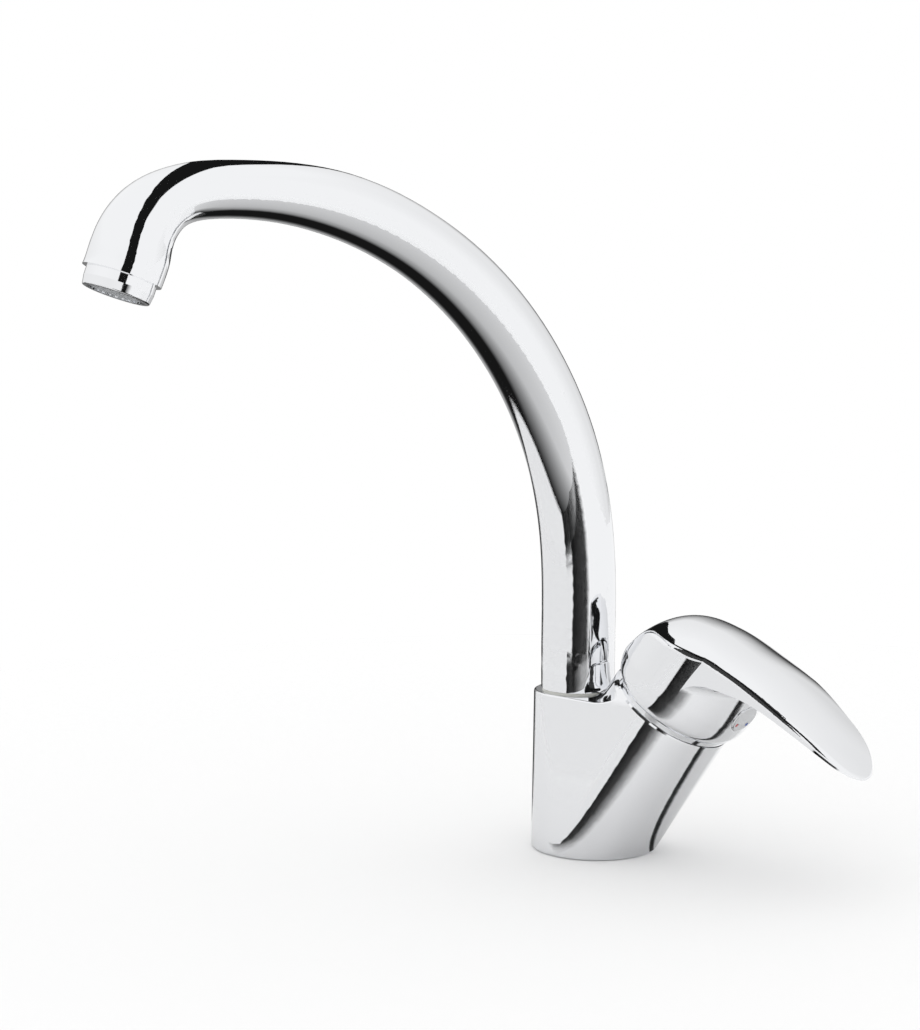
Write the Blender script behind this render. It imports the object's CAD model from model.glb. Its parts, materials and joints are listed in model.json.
import json
import math
import bpy
from mathutils import Matrix, Vector

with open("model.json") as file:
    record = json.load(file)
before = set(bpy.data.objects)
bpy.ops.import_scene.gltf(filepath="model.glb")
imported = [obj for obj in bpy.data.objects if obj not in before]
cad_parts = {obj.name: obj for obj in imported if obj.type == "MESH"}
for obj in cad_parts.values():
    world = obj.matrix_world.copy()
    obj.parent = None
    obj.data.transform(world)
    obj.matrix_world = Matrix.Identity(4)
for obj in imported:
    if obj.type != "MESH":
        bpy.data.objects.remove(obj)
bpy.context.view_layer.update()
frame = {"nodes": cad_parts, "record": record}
scene = bpy.context.scene
scene.view_settings.view_transform = "Standard"

# Millimetres in a metre: coordinates are in metres, and the sizes of patterns in millimetres
METRE = 1000.0


def linear(hex_colour):
    parts = [int(hex_colour[i:i + 2], 16) / 255 for i in (1, 3, 5)]
    return [p / 12.92 if p <= 0.04045 else ((p + 0.055) / 1.055) ** 2.4 for p in parts] + [1.0]


def add(tree, kind, inputs=None, **settings):
    node = tree.nodes.new(kind)
    for name, value in settings.items():
        setattr(node, name, value)
    for socket, value in (inputs or {}).items():
        if isinstance(value, bpy.types.NodeSocket):
            tree.links.new(value, node.inputs[socket])
        else:
            node.inputs[socket].default_value = value
    return node


def new_material(name):
    material = bpy.data.materials.new(name)
    material.use_nodes = True
    material.node_tree.nodes.clear()
    return material, material.node_tree


# Chromium plate over a polished casting: a bright cold mirror. The polishing wheel leaves patches of faint
# haze and long shallow waves, which soften and bend the edges of what it reflects
HAZE_MM = 18.0
WAVE_MM = 36.0


def polished_chromium():
    material, tree = new_material("polished_chromium")
    place = add(tree, "ShaderNodeTexCoord").outputs["Object"]
    haze = add(tree, "ShaderNodeTexNoise", {"Vector": place, "Scale": METRE / HAZE_MM, "Detail": 3.0})
    gloss = add(tree, "ShaderNodeMapRange", {
        "Value": haze.outputs["Fac"], "From Min": 0.3, "From Max": 0.7, "To Min": 0.025, "To Max": 0.06})
    wave = add(tree, "ShaderNodeTexNoise", {"Vector": place, "Scale": METRE / WAVE_MM, "Detail": 1.0})
    bump = add(tree, "ShaderNodeBump", {"Height": wave.outputs["Fac"], "Strength": 0.02, "Distance": 0.001})
    shader = add(tree, "ShaderNodeBsdfPrincipled", {
        "Base Color": linear("#F1F2F4"), "Metallic": 1.0, "Roughness": gloss.outputs["Result"],
        "Normal": bump.outputs["Normal"]})
    add(tree, "ShaderNodeOutputMaterial", {"Surface": shader.outputs["BSDF"]})
    return material


# Everything else that is moulded, turned or fired, each with its own colour, gloss and surface grain. The
# real grain is a few hundredths of a millimetre wide, too fine to show, so it is drawn as wide as grain_mm
def worked_surface(name, dark, light, roughness, grain_mm, relief_mm, metallic=0.0, coat=0.0):
    material, tree = new_material(name)
    place = add(tree, "ShaderNodeTexCoord").outputs["Object"]
    grain = add(tree, "ShaderNodeTexNoise", {"Vector": place, "Scale": METRE / grain_mm, "Detail": 4.0})
    tint = add(tree, "ShaderNodeMix", {
        "Factor": grain.outputs["Fac"], "A": linear(dark), "B": linear(light)}, data_type="RGBA")
    gloss = add(tree, "ShaderNodeMapRange", {
        "Value": grain.outputs["Fac"], "To Min": roughness * 0.85, "To Max": roughness * 1.15})
    bump = add(tree, "ShaderNodeBump", {
        "Height": grain.outputs["Fac"], "Strength": 0.4, "Distance": relief_mm / METRE})
    shader = add(tree, "ShaderNodeBsdfPrincipled", {
        "Base Color": tint.outputs["Result"], "Metallic": metallic, "Roughness": gloss.outputs["Result"],
        "Coat Weight": coat, "Coat Roughness": 0.05, "Normal": bump.outputs["Normal"]})
    add(tree, "ShaderNodeOutputMaterial", {"Surface": shader.outputs["BSDF"]})
    return material


finishes = {
    "chrome": polished_chromium(),
    # ABS, moulded and chromium plated: a mirror a shade greyer than the castings, with the mould's slow waves
    "plated_abs": worked_surface("plated_abs", "#D9DADC", "#E6E7E9", 0.06, 8.0, 0.002, metallic=1.0),
    # ABS coloured through and moulded in a polished tool: a clean colour under a clear gloss
    "hot_red": worked_surface("red_abs", "#A01A1A", "#B92424", 0.25, 1.0, 0.002, coat=0.6),
    "cold_blue": worked_surface("blue_abs", "#1D3F8E", "#2A52A8", 0.25, 1.0, 0.002, coat=0.6),
    # Brass, turned and left bare: yellow, with a shine that the tool marks soften
    "brass": worked_surface("turned_brass", "#B08A45", "#C8A25C", 0.28, 0.8, 0.004, metallic=1.0),
    # Stainless steel, turned: grey with a satin shine
    "steel": worked_surface("turned_stainless", "#9A9B9C", "#B4B5B6", 0.3, 0.6, 0.004, metallic=1.0),
    # Alumina, fired and lapped flat: creamy white with an even low shine
    "alumina": worked_surface("lapped_alumina", "#E6E3DA", "#F1EFE8", 0.2, 0.5, 0.002),
    # Acetal, moulded: a waxy off-white between matt and gloss
    "acetal": worked_surface("moulded_acetal", "#DDDDD6", "#E8E8E2", 0.45, 1.5, 0.006),
    # ABS, moulded in a fine-sparked tool: mid grey with a soft satin skin
    "aerator_plastic": worked_surface("grey_abs", "#A2A4A6", "#B2B4B6", 0.45, 1.0, 0.006),
    # EPDM rubber, moulded: matt black with hardly a highlight
    "rubber": worked_surface("moulded_epdm", "#141414", "#1E1E1E", 0.75, 0.7, 0.01),
}
for entry in frame["record"]["subparts"]:
    node = frame["nodes"][entry["node"]]
    node.data.materials.clear()
    node.data.materials.append(finishes[entry["material_slot"]])


# Stage: a white floor that fades into a white room
def stage_mesh(name, points, faces, material):
    mesh = bpy.data.meshes.new(name)
    mesh.from_pydata(points, [], faces)
    mesh.materials.append(material)
    thing = bpy.data.objects.new(name, mesh)
    scene.collection.objects.link(thing)
    return thing


def square(half, height):
    return [(-half, -half, height), (half, -half, height), (half, half, height), (-half, half, height)]


def pale_floor():
    material, tree = new_material("pale_floor")
    place = add(tree, "ShaderNodeTexCoord").outputs["Object"]
    reach = add(tree, "ShaderNodeVectorMath", {0: place}, operation="LENGTH")
    fade = add(tree, "ShaderNodeMapRange", {
        "Value": reach.outputs["Value"], "From Min": 0.2, "From Max": 0.6}, interpolation_type="SMOOTHSTEP")
    paint = add(tree, "ShaderNodeBsdfDiffuse", {"Color": linear("#FFFFFF")})
    clear = add(tree, "ShaderNodeBsdfTransparent")
    mixed = add(tree, "ShaderNodeMixShader", {
        0: fade.outputs["Result"], 1: paint.outputs[0], 2: clear.outputs[0]})
    add(tree, "ShaderNodeOutputMaterial", {"Surface": mixed.outputs[0]})
    return material


facing_up = [(0, 1, 2, 3)]
FLOOR_HEIGHT = -0.0002
stage_mesh("floor", square(0.7, FLOOR_HEIGHT), facing_up, pale_floor())


# Flag cloth round the set, which only reflections see, and only from the side that it faces. The ramp gives
# pairs of a bearing in degrees and a level, and ends is the level behind the tap: the cloth is black at
# level 0, and at 1 it is open, or white if it is a card. The ramp sets in over the spread of distances, and
# the cloth is open nearer than the inner fade and past the outer one. Distances are heights where by_height
# is set
def flag_cloth(name, ramp, ends, spread=(-2, -1), inner=(-2, -1), outer=(9, 10), by_height=False,
               card=False):
    material, tree = new_material(name)
    place = add(tree, "ShaderNodeTexCoord").outputs["Object"]
    parts = add(tree, "ShaderNodeSeparateXYZ", {0: place})
    front = add(tree, "ShaderNodeMath", {0: parts.outputs["Y"], 1: -1.0}, operation="MULTIPLY")
    bearing = add(tree, "ShaderNodeMath", {0: parts.outputs["X"], 1: front.outputs[0]}, operation="ARCTAN2")
    share = add(tree, "ShaderNodeMapRange", {
        "Value": bearing.outputs[0], "From Min": -math.pi, "From Max": math.pi})
    shade = add(tree, "ShaderNodeValToRGB", {"Fac": share.outputs["Result"]})
    points = shade.color_ramp.elements
    points[0].color = points[1].color = (ends, ends, ends, 1)
    for degrees, level in ramp:
        points.new((degrees + 180) / 360).color = (level, level, level, 1)
    reach = add(tree, "ShaderNodeVectorMath", {0: place}, operation="LENGTH").outputs["Value"]
    if by_height:
        reach = parts.outputs["Z"]
    grown = add(tree, "ShaderNodeMapRange", {"Value": reach, "From Min": spread[0], "From Max": spread[1]})
    near = add(tree, "ShaderNodeMapRange", {
        "Value": reach, "From Min": inner[0], "From Max": inner[1], "To Min": 1.0, "To Max": 0.0})
    far = add(tree, "ShaderNodeMapRange", {"Value": reach, "From Min": outer[0], "From Max": outer[1]})
    back = add(tree, "ShaderNodeNewGeometry").outputs["Backfacing"]
    hole = add(tree, "ShaderNodeMath", {
        0: near.outputs["Result"], 1: far.outputs["Result"]}, operation="MAXIMUM")
    hole = add(tree, "ShaderNodeMath", {0: hole.outputs[0], 1: back}, operation="MAXIMUM")
    pale = add(tree, "ShaderNodeMath", {
        0: shade.outputs["Color"], 1: grown.outputs["Result"]}, operation="MULTIPLY")
    black = add(tree, "ShaderNodeEmission", {"Color": linear("#181818"), "Strength": 1.0})
    clear = add(tree, "ShaderNodeBsdfTransparent")
    light = clear
    if card:
        light = add(tree, "ShaderNodeEmission", {"Color": linear("#FFFFFF"), "Strength": 1.0})
    cloth = add(tree, "ShaderNodeMixShader", {0: pale.outputs[0], 1: black.outputs[0], 2: light.outputs[0]})
    mixed = add(tree, "ShaderNodeMixShader", {0: hole.outputs[0], 1: cloth.outputs[0], 2: clear.outputs[0]})
    add(tree, "ShaderNodeOutputMaterial", {"Surface": mixed.outputs[0]})
    return material


def hang_flag(name, points, faces, cloth, place=(0, 0, 0)):
    flag = stage_mesh(name, points, faces, cloth)
    flag.location = place
    flag.visible_camera = False
    flag.visible_diffuse = False
    flag.visible_shadow = False
    flag.visible_transmission = False


# On the floor, each a little above the last: a pale tone round the tap, a stripe in front of the body, a
# wedge beside it, a half tone in the middle distance and the dark far side of the set
hang_flag("tone_flag", square(0.52, 0), facing_up, flag_cloth(
    "tone_cloth", [(-165, 0.9), (-155, 0.05), (-120, 0.05), (-108, 0.86), (0, 0.88), (40, 0.97)], 0.97,
    outer=(0.38, 0.42)), (0, 0, 0.0003))
hang_flag("stripe_flag", square(0.55, 0), facing_up, flag_cloth(
    "stripe_cloth", [(-2, 1), (0, 0), (22, 0.05), (36, 0.4), (46, 1)], 1,
    inner=(0.04, 0.06), outer=(0.42, 0.5)), (-0.038, 0, 0.0004))
hang_flag("wedge_flag", square(0.2, 0), facing_up, flag_cloth(
    "wedge_cloth", [(91, 1), (93, 0), (99, 0.05), (104, 0.85), (140, 0.8), (155, 1)], 1,
    outer=(0.12, 0.16)), (0, 0, 0.0006))
hang_flag("middle_flag", square(0.52, 0), facing_up, flag_cloth(
    "middle_cloth", [(9, 1), (12, 0.35), (54, 0.42), (64, 1)], 1,
    inner=(0.24, 0.3), outer=(0.38, 0.42)), (0, 0, 0.0007))
hang_flag("far_flag", square(1.6, 0), facing_up, flag_cloth(
    "far_cloth", [(-165, 0.9), (-155, 0.05), (-120, 0.05), (-108, 0.86), (9, 0.86), (12, 0), (54, 0.05),
                  (64, 1)], 1,
    inner=(0.38, 0.42), outer=(1.5, 1.58)), (0, 0, 0.0008))

# Low cards: one under the spout, which the inside of the arc picks up as a black line that fades to grey, and
# one over the lever, which lies along its edge as a black stripe. Both keep clear of the spout as it swings
spout_card = [(-0.4, -0.17, 0), (0.15, -0.17, 0), (0.15, -0.058, 0), (0.061, -0.044, 0), (0, 0, 0),
              (0, 0.4, 0), (-0.4, 0.4, 0)]
lever_card = [(-0.09, -0.3, 0), (-0.09, 0.025, 0), (0.02, 0.175, 0), (0.09, 0.175, 0), (0.09, -0.3, 0)]
hang_flag("spout_flag", spout_card, [range(len(spout_card))], flag_cloth(
    "spout_cloth", [(-130, 0.45), (-112, 0.3), (-98, 0.1), (-80, 0), (-8, 0), (6, 0.42), (30, 0.56),
                    (50, 0.64), (68, 0.74)], 0.74,
    spread=(0.05, 0.094), inner=(0.046, 0.05), card=True), (-0.046, -0.002, 0.13))
hang_flag("lever_flag", lever_card, [range(len(lever_card))], flag_cloth("lever_cloth", [], 0.04),
          (0.06, -0.175, 0.2))


# A ribbon of cloth that stands up beside the camera, arches over the tap and comes down behind it, narrower.
# The outlet and the crest of the spout pick it up as a black streak
def arch(bearings, half_widths, rises, distance):
    points, steps = [], 24
    for step in range(steps + 1):
        share = step / steps
        turn = math.radians(bearings[0] + (bearings[1] - bearings[0]) * share)
        out = Vector((math.sin(turn), -math.cos(turn), 0))
        half_width = half_widths[0] + (half_widths[1] - half_widths[0]) * share
        across = Vector((out.y, -out.x, 0)) * half_width
        angle = math.radians(rises[0] + (180 - rises[1] - rises[0]) * share)
        middle = out * distance * math.cos(angle) + Vector((0, 0, distance * math.sin(angle)))
        points += [middle - across, middle + across]
    return points, [(2 * n, 2 * n + 1, 2 * n + 3, 2 * n + 2) for n in range(steps)]


hang_flag("arch_flag", *arch((41, 39), (0.3, 0.14), (17, 9), 1.5), flag_cloth("arch_cloth", [], 0))


# Cloth round the horizon, facing in: a low band, a pale one behind the tap, and a skirt at its foot
def ring(radius, low, high):
    points, steps = [], 48
    for step in range(steps):
        angle = 2 * math.pi * step / steps
        points += [(radius * math.sin(angle), radius * math.cos(angle), z) for z in (low, high)]
    count = len(points)
    return points, [(n, (n + 2) % count, (n + 3) % count, n + 1) for n in range(0, count, 2)]


hang_flag("horizon_flag", *ring(1.55, 0, 1.0), flag_cloth(
    "horizon_cloth", [(-176, 0.85), (-166, 0.05), (-120, 0.05), (-108, 0.86), (0, 0.86), (60, 1), (160, 1)],
    0.8, outer=(0.15, 0.95), by_height=True))
hang_flag("rear_flag", *ring(1.6, 0, 2.6), flag_cloth(
    "rear_cloth", [(-150, 0.86), (-110, 1), (110, 1), (150, 0.86)], 0.86,
    outer=(0.6, 2.5), by_height=True))
hang_flag("skirt_flag", *ring(1.5, 0, 0.14), flag_cloth(
    "skirt_cloth", [(9, 1), (12, 0), (54, 0), (64, 1)], 1))

# The room: white, and lit evenly from all round
world = bpy.data.worlds.new("white_room")
world.use_nodes = True
world.node_tree.nodes.clear()
room = add(world.node_tree, "ShaderNodeBackground", {"Color": linear("#FFFFFF"), "Strength": 1.0})
add(world.node_tree, "ShaderNodeOutputWorld", {"Surface": room.outputs[0]})
scene.world = world

# Camera: 1.2 m away, a little above the tap and to the right of it
CAMERA_DISTANCE = 1.2
CAMERA_BEARING = math.radians(32.5)
CAMERA_RISE = math.radians(8)
AIM_RIGHT = -0.0536
AIM_UP = 0.1328
right = Vector((math.cos(CAMERA_BEARING), math.sin(CAMERA_BEARING), 0))
away = Vector((-math.sin(CAMERA_BEARING), math.cos(CAMERA_BEARING), 0))
up = away * math.sin(CAMERA_RISE) + Vector((0, 0, math.cos(CAMERA_RISE)))
back = right.cross(up)
camera_data = bpy.data.cameras.new("camera")
camera_data.sensor_width = 36.0
camera_data.lens = 104.3
camera = bpy.data.objects.new("camera", camera_data)
scene.collection.objects.link(camera)
place = back * CAMERA_DISTANCE + right * AIM_RIGHT + up * AIM_UP
camera.matrix_world = Matrix.Translation(place) @ Matrix((right, up, back)).transposed().to_4x4()
scene.camera = camera
